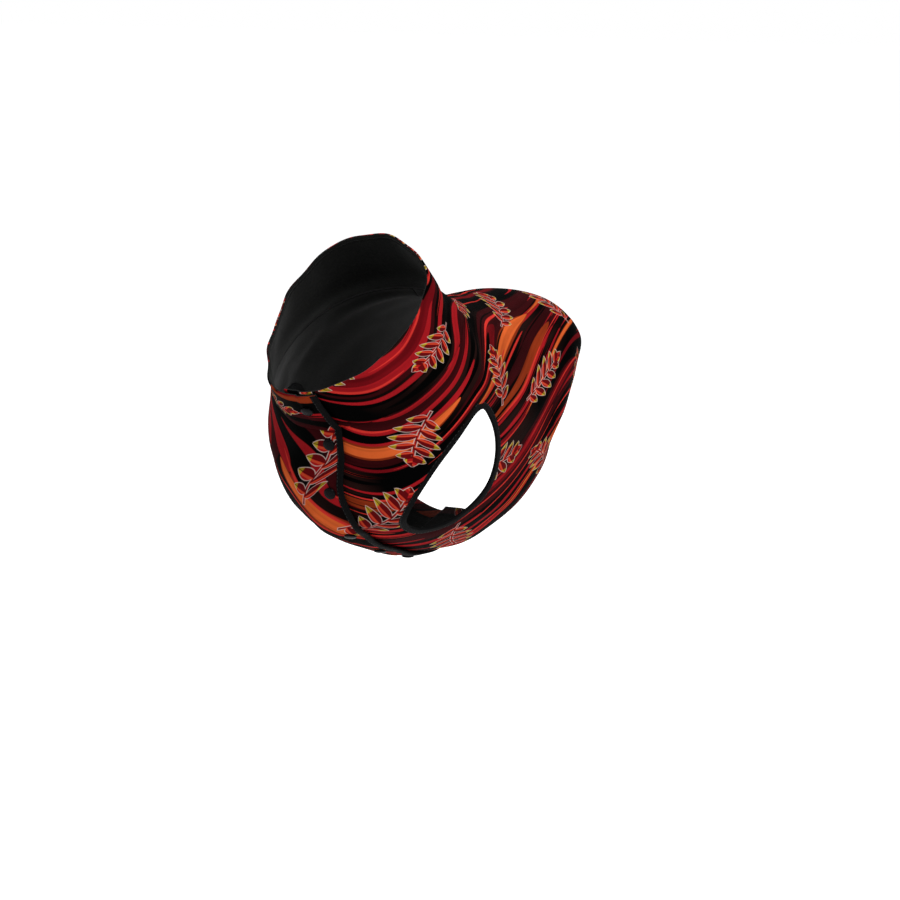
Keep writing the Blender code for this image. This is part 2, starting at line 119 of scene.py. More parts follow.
# Creases pressed into the body's cloth, each a soft line from one place to another. Places are
# sections from the hem and shares, positive on the left side; height is below 0 for a trough.
Crease = namedtuple("Crease", "from_section from_share to_section to_share height width")
CREASES = {
    "left_shoulder_pull": (5.75, 0.46, 7.60, 0.30, 0.0011, 0.0120),
    "left_shoulder_hollow": (5.60, 0.40, 7.00, 0.22, -0.0010, 0.0140),
    "left_chest_pull": (5.95, 0.70, 6.60, 0.92, -0.0011, 0.0095),
    "left_chest_fold": (5.55, 0.80, 5.75, 0.95, 0.0010, 0.0080),
    "left_breast_drag": (4.95, 0.88, 4.60, 0.99, -0.0012, 0.0070),
    "left_flank_long": (3.00, 0.55, 0.90, 0.44, -0.0013, 0.0130),
    "left_flank_low": (2.90, 0.78, 1.30, 0.70, 0.0011, 0.0110),
    "left_belly_sag": (2.60, 0.93, 0.70, 0.88, 0.0013, 0.0120),
    "left_back_drag": (4.60, 0.30, 2.20, 0.18, 0.0010, 0.0160),
    "right_shoulder_pull": (5.70, -0.45, 7.40, -0.26, 0.0012, 0.0120),
    "right_shoulder_hollow": (5.85, -0.55, 7.10, -0.48, -0.0010, 0.0110),
    "right_chest_pull": (5.80, -0.74, 6.40, -0.88, -0.0010, 0.0090),
    "right_breast_drag": (5.00, -0.86, 4.50, -0.93, -0.0010, 0.0070),
    "right_flank_long": (3.10, -0.60, 1.10, -0.52, -0.0014, 0.0125),
    "right_flank_upper": (3.40, -0.42, 1.40, -0.30, 0.0011, 0.0140),
    "right_belly_sag": (2.70, -0.90, 0.60, -0.84, 0.0012, 0.0120),
    "right_back_drag": (4.90, -0.24, 3.00, -0.10, -0.0009, 0.0150),
}

CREASE_BOW = 0.006  # how far a crease bows sideways from its straight line
HEM_WAVE, SCALLOP, UNEVEN = 0.0006, 0.0007, 0.0005  # heights of the body's ripples
COLLAR_WAVE, COLLAR_CRUSH = 0.0008, 0.00066  # and of the collar's

# ------ the tube the cloth follows
OVAL_ANGLES = np.linspace(0, math.pi, 361)
SHARES = np.linspace(-1.16, 1.16, 581)
SECTION_ROWS = 40  # rows of the look-up grid from one section to the next
SECTION_STEP, HALF_GIRTH, COLLAR_HALF_GIRTH = 0.030, 0.31, 0.23  # typical ones, in metres
METRIC = np.array([SECTION_STEP, HALF_GIRTH])  # metres a section and a share stand for


def section(u, part):
    """The section at u, on smooth curves through the table, broken at the neck seam."""
    first, last = (0, SEAM) if part == "body" else (SEAM, RIM)
    i = int(np.clip(math.floor(u), first, last - 1))
    t = u - i
    here, there = TABLE[i], TABLE[i + 1]
    before = TABLE[i - 1] if i > first else 2 * here - there
    after = TABLE[i + 2] if i + 2 <= last else 2 * there - here
    slope_here, slope_there = (there - before) / 2, (after - here) / 2
    return Section(*(
        (2 * t**3 - 3 * t**2 + 1) * here
        + (t**3 - 2 * t**2 + t) * slope_here
        + (3 * t**2 - 2 * t**3) * there
        + (t**3 - t**2) * slope_there
    ))


def half_oval(row):
    """The left half of a section, from the back round to the underside, and its run lengths."""
    back = np.array([0, row.back_y, row.back_z])
    under = np.array([0, row.under_y, row.under_z])
    power = 2 / row.squareness
    across = np.abs(np.sin(OVAL_ANGLES)) ** power
    along = np.sign(np.cos(OVAL_ANGLES)) * np.abs(np.cos(OVAL_ANGLES)) ** power
    across = across * (1 - row.low_slung * along)
    points = (back + under) / 2 + np.outer(along, (back - under) / 2)
    points[:, 0] = row.half_width * across
    points[:, 1] += row.flank_y * np.sin(OVAL_ANGLES) ** 2
    run = np.concatenate([[0], np.cumsum(np.linalg.norm(np.diff(points, axis=0), axis=1))])
    return points, run


def smooth_step(x):
    x = np.clip(x, 0, 1)
    return x * x * (3 - 2 * x)


def unit(vectors):
    return vectors / np.linalg.norm(vectors, axis=-1, keepdims=True)


def half_thickness(from_taped_edge):
    """Half the cloth's thickness at a distance from an edge that a tape presses flat."""
    return CLOTH / 2 * (PRESSED + (1 - PRESSED) * smooth_step(from_taped_edge / PRESSED_REACH))


def crease_height(u, share):
    """Sum of the pressed creases at a place of the body."""
    place = np.stack([u, share], axis=-1) * METRIC
    total = np.zeros(np.shape(u))
    for crease in map(Crease._make, CREASES.values()):
        start = np.array([crease.from_section, crease.from_share]) * METRIC
        line = np.array([crease.to_section, crease.to_share]) * METRIC - start
        at = ((place - start) @ line) / (line @ line)
        bow = CREASE_BOW * np.sin(math.pi * np.clip(at, 0, 1))
        side = np.array([-line[1], line[0]]) / np.linalg.norm(line)
        away = (place - start) @ side - bow
        fade = smooth_step((at + 0.12) / 0.35) * smooth_step((1.12 - at) / 0.45)
        width = crease.width * (0.75 + 0.5 * np.clip(at, 0, 1))
        total += crease.height * fade * np.exp(-((away / width) ** 2))
    return total


def body_ripple(u, share, past_edge):
    """Waves of the hem, scallops where the snaps pull the front, and the cloth's unevenness."""
    girth = share * HALF_GIRTH
    hem = np.exp(-((u / 0.9) ** 2)) * HEM_WAVE
    waves = hem * (np.sin(girth * 92 + 0.7) + 0.6 * np.sin(girth * 151 + 2.1 + u))
    near_front = np.exp(-((past_edge / 0.030) ** 2))
    scallops = SCALLOP * near_front * np.sin(u * 5.1 + 0.6) * smooth_step((6.5 - u) / 2)
    uneven = UNEVEN * np.sin(u * 2.3 + girth * 38) * np.sin(girth * 61 - u * 1.7)
    return waves + scallops + uneven


def collar_ripple(u, share):
    """The collar stands softly: uneven waves that grow towards the rim."""
    height = (u - SEAM) / (RIM - SEAM)
    around = share * COLLAR_HALF_GIRTH
    wave = np.sin(around * 118 + 0.4) + 0.7 * np.sin(around * 71 + 1.9) + 0.5 * np.sin(around * 190)
    crush = np.exp(-(((height - 0.45) / 0.22) ** 2)) * np.sin(around * 84 - 0.8)
    return COLLAR_WAVE * wave * height**1.5 + COLLAR_CRUSH * crush


def neck_pull(points, shares, above_seam):
    """The collar draws in softly a little above the neck seam, at the nape and the neck's sides."""
    seam = Section(*TABLE[SEAM])
    middle = (seam.back_y + seam.under_y) / 2
    inward = -points * [1, 1, 0] + [0, middle, 0]
    near = np.exp(-(((above_seam - NECK_WAIST) / NECK_PULL_REACH) ** 2))
    from_spine = np.abs(shares)
    around = smooth_step((0.62 - from_spine) / 0.3) * (0.45 + 0.55 * smooth_step(from_spine / 0.2))
    return unit(inward) * (NECK_PULL * near[:, None] * around[None, :])[..., None]


class Tube:
    """The cloth's middle face for the body or the collar, looked up by section and share."""

    def __init__(self, part):
        first, last = (0, SEAM) if part == "body" else (SEAM, RIM)
        self.sections = np.linspace(first, last, SECTION_ROWS * (last - first) + 1)
        rows = [section(u, part) for u in self.sections]
        points = np.zeros((len(rows), len(SHARES), 3))
        self.girth = np.zeros(len(rows))
        for i, row in enumerate(rows):
            oval, run = half_oval(row)
            self.girth[i] = run[-1]
            side = np.where(SHARES >= 0, 1.0, -1.0) * np.where(np.abs(SHARES) > 1, -1.0, 1.0)
            share = np.where(np.abs(SHARES) > 1, 2 - np.abs(SHARES), np.abs(SHARES))
            for axis in range(3):
                points[i, :, axis] = np.interp(share * run[-1], run, oval[:, axis])
            points[i, :, 0] *= side
        self.edge = np.array([row.front_edge for row in rows])
        normals = self.face_normals(points)
        u, share = np.meshgrid(self.sections, SHARES, indexing="ij")
        past_centre = (np.abs(share) - 1) * self.girth[:, None]
        from_edge = np.where(share < 0, past_centre, -past_centre) - self.edge[:, None]
        lift = LAP_LIFT * smooth_step((from_edge + LAP + LAP_LEVEL + LAP_RAMP) / LAP_RAMP)
        lift = np.where(share < 0, lift, 0.0)
        seen_share = np.where(np.abs(share) > 1, -np.sign(share) * (2 - np.abs(share)), share)
        if part == "body":
            soft = crease_height(u, seen_share) + body_ripple(u, seen_share, from_edge)
            soft = soft * smooth_step((SEAM - u) / 0.5)
        else:
            soft = collar_ripple(u, seen_share)
        lift = lift + soft
        run = np.linalg.norm(np.diff(points, axis=0), axis=2).mean(axis=1)
        run = np.concatenate([[0], np.cumsum(run)])
        above_seam = run - run[-1] if part == "body" else run
        self.points = points + normals * lift[..., None] + neck_pull(points, SHARES, above_seam)
        self.normals = self.face_normals(self.points)
        run = np.linalg.norm(np.diff(self.points, axis=0), axis=2).mean(axis=1)
        self.length = np.concatenate([[0], np.cumsum(run)])
        self.foot = 0.0

    @staticmethod
    def face_normals(points):
        along, around = np.gradient(points, axis=0), np.gradient(points, axis=1)
        return unit(np.cross(along, around))

    def look_up(self, grid, u, share):
        i = np.interp(u, self.sections, np.arange(len(self.sections)))
        j = np.interp(share, SHARES, np.arange(len(SHARES)))
        i0 = np.clip(i.astype(int), 0, len(self.sections) - 2)
        j0 = np.clip(j.astype(int), 0, len(SHARES) - 2)
        a, b = (i - i0)[..., None], (j - j0)[..., None]
        return (
            grid[i0, j0] * (1 - a) * (1 - b) + grid[i0 + 1, j0] * a * (1 - b)
            + grid[i0, j0 + 1] * (1 - a) * b + grid[i0 + 1, j0 + 1] * a * b
        )

    def at(self, u, share):
        """(points, normals) of the cloth's middle."""
        u, share = np.broadcast_arrays(np.asarray(u, float), np.asarray(share, float))
        return self.look_up(self.points, u, share), unit(self.look_up(self.normals, u, share))

    def half_girth(self, u):
        return np.interp(u, self.sections, self.girth)

    def share_at(self, u, side, from_edge):
        """Share of a side's half girth at a distance to the left of the right front's edge."""
        past_centre = np.interp(u, self.sections, self.edge) + from_edge
        return 1 - side * past_centre / self.half_girth(u)

    def flat(self, u, share):
        """Place in the cut cloth, in metres: across from the spine, and along from the hem."""
        along = np.interp(u, self.sections, self.length)
        return share * self.half_girth(u), self.foot + along


BODY = Tube("body")
COLLAR = Tube("collar")
COLLAR.foot = BODY.length[-1]  # the print runs on over the neck seam


# ------ mesh helpers
def grid_piece(name, across, along, place, close_across, close_along, inside=lambda j: False):
    """A grid of across by along steps laid on place(i, j) -> (point, flat place), closed on
    itself where asked. inside(j) tells the rows that face the wearer; they get material 1."""
    bm = bmesh.new()
    bmesh.ops.create_grid(bm, x_segments=across, y_segments=along, size=1)
    spots = bm.verts.layers.float_vector.new("spot")
    for vert in bm.verts:
        i = round((vert.co.x + 1) / 2 * across)
        j = round((vert.co.y + 1) / 2 * along)
        if close_across:
            i %= across
        if close_along:
            j %= along
        point, flat = place(i, j)
        vert.co = point
        vert[spots] = (flat[0], flat[1], float(inside(j)))
    if close_across or close_along:
        bmesh.ops.remove_doubles(bm, verts=bm.verts, dist=MERGE)
    if not close_across:
        ends = [edge for edge in bm.edges if edge.is_boundary]
        bmesh.ops.holes_fill(bm, edges=ends, sides=0)
    return finish_mesh(name, bm)


def link_mesh(name, bm):
    """The object that shows a finished bmesh."""
    mesh = bpy.data.meshes.new(name)
    bm.to_mesh(mesh)
    bm.free()
    piece = bpy.data.objects.new(name, mesh)
    bpy.context.scene.collection.objects.link(piece)
    return piece


def finish_mesh(name, bm):
    """Outward normals, flat places into the UV map, smooth faces, and the object itself."""
    bmesh.ops.recalc_face_normals(bm, faces=bm.faces)
    if bm.calc_volume(signed=True) < 0:
        bmesh.ops.reverse_faces(bm, faces=bm.faces)
    spots = bm.verts.layers.float_vector.get("spot")
    uv = bm.loops.layers.uv.new("cloth")
    for face in bm.faces:
        face.smooth = True
        if spots is None:
            continue
        for loop in face.loops:
            loop[uv].uv = loop.vert[spots][:2]
        if all(loop.vert[spots][2] > 0.5 for loop in face.loops):
            face.material_index = 1
    return link_mesh(name, bm)


def dress(piece, slot, *materials):
    """Materials and body of a piece; slot is not used."""
    for made in materials:
        piece.data.materials.append(made)
    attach(piece, "root")


# ------ the body halves
SPINE_STEPS, NECK_STEPS, FRONT_STEPS, HEM_STEPS = 80, 66, 110, 84
RAYS = SPINE_STEPS + NECK_STEPS + FRONT_STEPS + HEM_STEPS
RINGS = 46
EDGE_ANGLES = np.radians([30, 60, 90, 120, 150])
PRINT_ENDS = math.radians(45)  # the print's end on a rounded edge
HOLE_STEPS = 1440


def smooth_loop(knots, count):
    """Points on a smooth closed curve through the knots."""
    knots = np.array(knots)
    n = len(knots)
    at = np.arange(count) * n / count
    i = at.astype(int)
    t = (at - i)[:, None]
    p0, p1, p2, p3 = (knots[(i + j) % n] for j in (-1, 0, 1, 2))
    return 0.5 * (2 * p1 + (p2 - p0) * t + (2 * p0 - 5 * p1 + 4 * p2 - p3) * t**2
                  + (3 * p1 - p0 - 3 * p2 + p3) * t**3)


def outline(side):
    """A half's outline, from the hem on the spine: spine, neck, front edge, hem."""
    u = np.concatenate([
        SEAM * np.arange(SPINE_STEPS) / SPINE_STEPS,
        np.full(NECK_STEPS, float(SEAM)),
        SEAM * (1 - np.arange(FRONT_STEPS) / FRONT_STEPS),
        np.zeros(HEM_STEPS),
    ])
    high = BODY.share_at(u, side, -LAP if side > 0 else 0.0)
    way = np.concatenate([
        np.zeros(SPINE_STEPS),
        np.arange(NECK_STEPS) / NECK_STEPS,
        np.ones(FRONT_STEPS),
        1 - np.arange(HEM_STEPS) / HEM_STEPS,
    ])
    return np.stack([u, high * way], axis=1)


def angles_from(centre, points):
    flat = (points - centre) * METRIC
    return np.unwrap(np.arctan2(flat[:, 1], flat[:, 0]))


def armhole_for(border):
    """A point of the armhole's edge for each point of the border, on rays that never cross."""
    fine = smooth_loop(list(ARMHOLE.values()), HOLE_STEPS)
    centre = fine.mean(axis=0)
    angle = angles_from(centre, fine)
    if angle[-1] < angle[0]:
        fine = fine[::-1]
        angle = angles_from(centre, fine)
    wanted = angles_from(centre, border)
    closed = np.vstack([fine, fine[:1]])
    run = np.concatenate([[0], np.cumsum(np.linalg.norm(np.diff(closed * METRIC, axis=0), axis=1))])
    angle = np.concatenate([angle, [angle[0] + 2 * math.pi]])
    laps = np.floor((wanted - angle[0]) / (2 * math.pi))
    by_angle = laps * run[-1] + np.interp(wanted - laps * 2 * math.pi, angle, run)
    even = np.arange(len(border)) * run[-1] / len(border)
    even = even + (by_angle - even).mean()
    at = (0.45 * by_angle + 0.55 * even) % run[-1]
    return np.stack([np.interp(at, run, closed[:, axis]) for axis in range(2)], axis=1)


def edge_inset(edge, beyond, signed):
    """Share of the way from one edge to the other at which the cloth's rounded edge begins."""
    step = 0.02
    at, _ = BODY.at(*(edge * signed).T)
    within, _ = BODY.at(*((edge + step * (beyond - edge)) * signed).T)
    along = unit(np.roll(at, -1, axis=0) - np.roll(at, 1, axis=0))
    inward = within - at
    inward = inward - along * np.sum(inward * along, -1, keepdims=True)
    return (step * (CLOTH / 2 - SEAM_BITE) / np.linalg.norm(inward, axis=-1))[None, :, None]


def body_half(name, side):
    """A half's cloth, both faces in one closed mesh; returns the piece and its armhole's edge."""
    border = outline(side)
    hole = armhole_for(border)
    signed = np.array([1.0, side])
    first, last = edge_inset(hole, border, signed), edge_inset(border, hole, signed)
    way = first + (1 - first - last) * np.linspace(0, 1, RINGS + 1)[:, None, None]
    places = (hole + way * (border - hole)) * signed
    points, normals = BODY.at(places[..., 0], places[..., 1])
    flat = np.stack(BODY.flat(places[..., 0], places[..., 1]), axis=-1)
    from_tape = np.linalg.norm((places - hole * signed) * METRIC, axis=-1)
    if side < 0:
        from_front = BODY.share_at(places[..., 0], side, 0.0) + places[..., 1]
        from_tape = np.minimum(from_tape, from_front * BODY.half_girth(places[..., 0]))
    half = half_thickness(from_tape)[..., None]

    def rounded(ring, next_ring):
        outward = points[ring] - points[next_ring]
        along = unit(np.roll(points[ring], -1, axis=0) - np.roll(points[ring], 1, axis=0))
        for across in (along, normals[ring]):
            outward = outward - across * np.sum(outward * across, -1, keepdims=True)
        outward = unit(outward)
        return [points[ring] + half[ring] * (math.sin(a) * outward + math.cos(a) * normals[ring])
                for a in EDGE_ANGLES]

    rows, flats, inner = [], [], []

    def add_row(row, ring, inside):
        rows.append(row)
        flats.append(flat[ring])
        inner.append(inside)

    for ring in range(RINGS + 1):
        add_row(points[ring] + half[ring] * normals[ring], ring, False)
    for row, angle in zip(rounded(RINGS, RINGS - 1), EDGE_ANGLES):
        add_row(row, RINGS, angle > PRINT_ENDS)
    past_turn = (HEM_TURN + HEM_SOFT / 2 - flat[..., 1]) / HEM_SOFT
    turned = half + HEM_THICKER * smooth_step(past_turn)[..., None]
    for ring in range(RINGS, -1, -1):
        add_row(points[ring] - turned[ring] * normals[ring], ring, True)
    for row in rounded(0, 1)[::-1]:
        add_row(row, 0, True)
    rows, flats = np.array(rows), np.array(flats)
    piece = grid_piece(
        name, RAYS, len(rows),
        lambda i, j: (rows[j, i], flats[j, i]), True, True, lambda j: inner[j],
    )
    return piece, hole * signed, (hole + 0.2 * (border - hole)) * signed


# ------ tapes
# A tape's outer and inner layer: depth as a share of its width, height as a share of a layer.
TAPE_OUTER = ((1.0, 0.0), (1.01, 0.35), (0.975, 0.75), (0.9, 0.86), (0.82, 0.8),
              (0.70, 1.05), (0.5, 1.12), (0.25, 1.1), (0.08, 1.02))
TAPE_INNER = ((0.08, 1.02), (0.25, 1.08), (0.5, 1.1), (0.82, 0.85), (0.97, 0.75), (1.0, 0.0))
STITCH_ROW = 4  # the row of TAPE_OUTER that the stitches press in
TAPE_NOSE = np.radians([25, 55, 90, 125, 155])
TAPE_INSIDE = 0.0085  # from the front edge to the line that gives the tape its lie
FRONT_BREAK = 0.004  # sections left out on each side of the neck seam
FRONT_SOFT = 0.0030  # the front tape's bend at the neck seam is softened over this run


def tape_loop(edge, edge_normal, inner, inner_normal, tangent, width, wobble):
    """Section of a tape folded over an edge, as rows of points for every place along it."""
    across = inner - edge
    flatness = across - tangent * np.sum(across * tangent, -1, keepdims=True)
    reach = np.linalg.norm(flatness, axis=-1, keepdims=True)
    inward = flatness / reach
    rows = []

    def point(depth, height):
        share = np.clip(depth, 0, None) / reach
        base = edge + across * share + inward * np.minimum(depth, 0)
        normal = unit(edge_normal + (inner_normal - edge_normal) * share)
        return base + normal * height

    def over_cloth(depth):
        return half_thickness(np.clip(depth, 0, None)) + TAPE_LIFT

    end = width[:, None] * (1 + wobble[:, None])
    layer = TAPE_LAYER * (1 + 0.6 * wobble[:, None])
    for depth, height in TAPE_OUTER:
        rows.append(point(end * depth, over_cloth(end * depth) + layer * height))
    nose = TAPE_LAYER + SEAM_GAP
    for angle in TAPE_NOSE:
        rows.append(point(np.full_like(end, -nose * math.sin(angle)),
                          (over_cloth(0.0) + layer) * math.cos(angle)))
    for depth, height in TAPE_INNER:
        rows.append(point(end * depth, -over_cloth(end * depth) - layer * height))
    rows.append(point(np.full_like(end, 0.0), -over_cloth(0.0)))
    rows.append(point(np.full_like(end, -SEAM_GAP / 2), 0.0))
    rows.append(point(np.full_like(end, 0.0), over_cloth(0.0)))
    return np.array(rows)


def run_length(points, closed):
    """Run at each point, and the whole run, back to the first point if closed."""
    steps = np.linalg.norm(np.roll(points, -1, axis=0) - points, axis=1)
    whole = steps.sum() if closed else steps[:-1].sum()
    return np.concatenate([[0], np.cumsum(steps)[:-1]]), float(whole)


def soft_wobble(run, whole, seed):
    """A small uneven factor along a tape, the same at both ends."""
    turn = 2 * math.pi * run / whole
    wave = np.sin(9 * turn + seed) + 0.6 * np.sin(23 * turn + 2 * seed) + 0.4 * np.sin(41 * turn)
    return 0.05 * wave


def tape_piece(name, rows, run, closed):
    """The tape's mesh; its flat place is the run along it and the row across it."""
    count, size = rows.shape[1], rows.shape[0]
    around = np.linalg.norm(np.diff(rows, axis=0, append=rows[:1]), axis=2).mean(axis=1)
    across = np.concatenate([[0], np.cumsum(around)[:-1]])

    def place(i, j):
        return rows[j % size, i % count], (run[i % count], across[j % size])

    return grid_piece(name, count if closed else count - 1, size, place, closed, True)


def stitches(name, points, normals, directions):
    """A row of thread stitches, each a short rounded grain half sunk in the tape."""
    bm = bmesh.new()
    size = Matrix.Diagonal((STITCH_LENGTH / 2, STITCH_THICKNESS / 2, STITCH_THICKNESS / 2, 1))
    for point, normal, direction in zip(points, normals, directions):
        side = np.cross(normal, direction)
        turn = Matrix((direction, side, normal)).transposed().to_4x4()
        bmesh.ops.create_uvsphere(bm, u_segments=6, v_segments=5, radius=1,
                                  matrix=Matrix.Translation(point) @ turn @ size)
    return finish_mesh(name, bm)


def sample(run, values, at, whole, closed):
    """Values at places along a run, looked up between its points."""
    if closed:
        run = np.concatenate([run, [whole]])
        values = np.concatenate([values, values[:1]])
    return np.stack([np.interp(at, run, column) for column in values.T], axis=1)


def sewn_tape(name, stitch_name, lie, tangent, width, seed, closed):
    """A tape on an edge, and its stitches; lie is the edge, its normal, and the same inside it."""
    edge, edge_normal = lie[:2]
    run, whole = run_length(edge, closed)
    wobble = soft_wobble(run, whole, seed)
    rows = tape_loop(*lie, tangent, np.full(len(edge), width), wobble)
    tape = tape_piece(name, rows, run, closed)
    count = int(whole / STITCH_PITCH)
    if closed:
        at = (np.arange(count) + 0.5) * whole / count
    else:
        at = np.linspace(0, whole, count)[1:-1]
    line, normal, direction = (
        sample(run, values, at, whole, closed)
        for values in (rows[STITCH_ROW], edge_normal, tangent)
    )
    normal = unit(normal)
    direction = unit(direction - normal * np.sum(direction * normal, -1, keepdims=True))
    return tape, stitches(stitch_name, line, normal, direction)


def armhole_tape(name, stitch_name, hole, inner, seed):
    lie = (*BODY.at(*hole.T), *BODY.at(*inner.T))
    tangent = unit(np.roll(lie[0], -1, axis=0) - np.roll(lie[0], 1, axis=0))
    return sewn_tape(name, stitch_name, lie, tangent, ARMHOLE_TAPE_WIDTH, seed, True)


def front_edge_rows():
    """Places of the right front's edge from the hem up over the neck seam to the rim."""
    parts = []
    for tube, first, last, count in (
        (BODY, 0.0, SEAM - FRONT_BREAK, 190), (COLLAR, SEAM + FRONT_BREAK, float(RIM), 60),
    ):
        u = np.linspace(first, last, count)
        edge = tube.at(u, -tube.share_at(u, -1, 0.0))
        parts.append((*edge, *tube.at(u, -tube.share_at(u, -1, -TAPE_INSIDE))))
    lie = [np.concatenate(values) for values in zip(*parts)]
    run, _ = run_length(lie[0], False)
    near = np.exp(-(((run[:, None] - run[None, :]) / FRONT_SOFT) ** 2))
    near = near / near.sum(axis=1, keepdims=True)
    ends = smooth_step(np.minimum(run, run[-1] - run) / (2 * FRONT_SOFT))[:, None]
    edge, edge_normal, inner, inner_normal = (
        near @ values * ends + values * (1 - ends) for values in lie
    )
    return edge, unit(edge_normal), inner, unit(inner_normal)


def front_tape(name, stitch_name):
    lie = front_edge_rows()
    tangent = unit(np.gradient(lie[0], axis=0))
    return sewn_tape(name, stitch_name, lie, tangent, FRONT_TAPE_WIDTH, 1.3, False)


# ------ the collar
COLLAR_COLUMNS = 330
COLLAR_ROWS = 26


def ring_piece(name, rows, inside=lambda j: False):
    """A collar piece from rows of points and flat places, closed from the last to the first."""
    def place(i, j):
        points, flat = rows[j % len(rows)]
        return points[i], flat[i]

    return grid_piece(name, COLLAR_COLUMNS, len(rows), place, False, True, inside)


def collar_pieces():
    """The printed band with its rim turned in, and the black lining inside it."""
    way = np.linspace(0, 1, COLLAR_COLUMNS + 1)

    def column_shares(u):
        left, right = COLLAR.share_at(u, 1, -LAP), -COLLAR.share_at(u, -1, 0.0)
        return left + (right - left) * way

    half, step = CLOTH / 2, 0.2
    height = np.linalg.norm(COLLAR.at(RIM, 0.5)[0] - COLLAR.at(RIM - step, 0.5)[0]) / step
    bottom = float(SEAM)
    turn, top = RIM - RIM_TURN / height, RIM - RIM_ROUND / height

    def row(u, offset):
        shares = column_shares(u)
        level = np.full_like(shares, u)
        points, normals = COLLAR.at(level, shares)
        from_tape = (shares + COLLAR.share_at(u, -1, 0.0)) * COLLAR.half_girth(u)
        offsets = offset * half_thickness(from_tape)[:, None] / half
        return points + normals * offsets, np.stack(COLLAR.flat(level, shares), -1)

    rows = [row(u, half) for u in np.linspace(bottom, top, COLLAR_ROWS)]
    rows += [row(top + RIM_BULGE * math.sin(a) / height, half * math.cos(a)) for a in EDGE_ANGLES]
    rows += [row(u, -half) for u in np.linspace(top, turn, 4)]
    rows += [row(u, half - COLLAR_LAYER) for u in np.linspace(turn, bottom, COLLAR_ROWS)]
    band = ring_piece("collar_band", rows, lambda j: j >= COLLAR_ROWS + 2 or j == 0)
    outside, within = half - COLLAR_LAYER - SEAM_GAP / 2, -half
    under_turn = turn - SEAM_GAP / height
    rows = [row(u, outside) for u in np.linspace(bottom, under_turn, COLLAR_ROWS)]
    rows += [row(u, within) for u in np.linspace(under_turn, bottom, COLLAR_ROWS)]
    return band, ring_piece("collar_lining_band", rows)


# ------ snaps
# From the dome's top to the foot: shares of the radius and the height.
SNAP_PROFILE = (
    (0.0, 1.00), (0.35, 0.98), (0.62, 0.90), (0.76, 0.80), (0.82, 0.74), (0.88, 0.76), (0.95, 0.68),
    (1.0, 0.45), (1.0, 0.22), (0.96, 0.0), (0.0, 0.0),
)


def snap_cap(name, u, from_edge):
    """A round cap with a low dome and a rolled rim, turned on its own axis and set on the cloth."""
    tube = BODY if u < SEAM else COLLAR
    point, normal = tube.at(u, -tube.share_at(u, -1, -from_edge))
    bm = bmesh.new()
    verts = [bm.verts.new((SNAP_RADIUS * r, 0, SNAP_HEIGHT * h)) for r, h in SNAP_PROFILE]
    edges = [bm.edges.new(pair) for pair in zip(verts, verts[1:])]
    bmesh.ops.spin(bm, geom=verts + edges, axis=(0, 0, 1), cent=(0, 0, 0), steps=40,
                   angle=2 * math.pi, use_merge=True)
    bmesh.ops.remove_doubles(bm, verts=bm.verts, dist=MERGE)
    seat = Vector(point + normal * (CLOTH / 2 + SNAP_LIFT))
    turn = Vector(normal).to_track_quat("Z", "Y").to_matrix().to_4x4()
    bmesh.ops.transform(bm, matrix=Matrix.Translation(seat) @ turn, verts=bm.verts)
    return finish_mesh(name, bm)


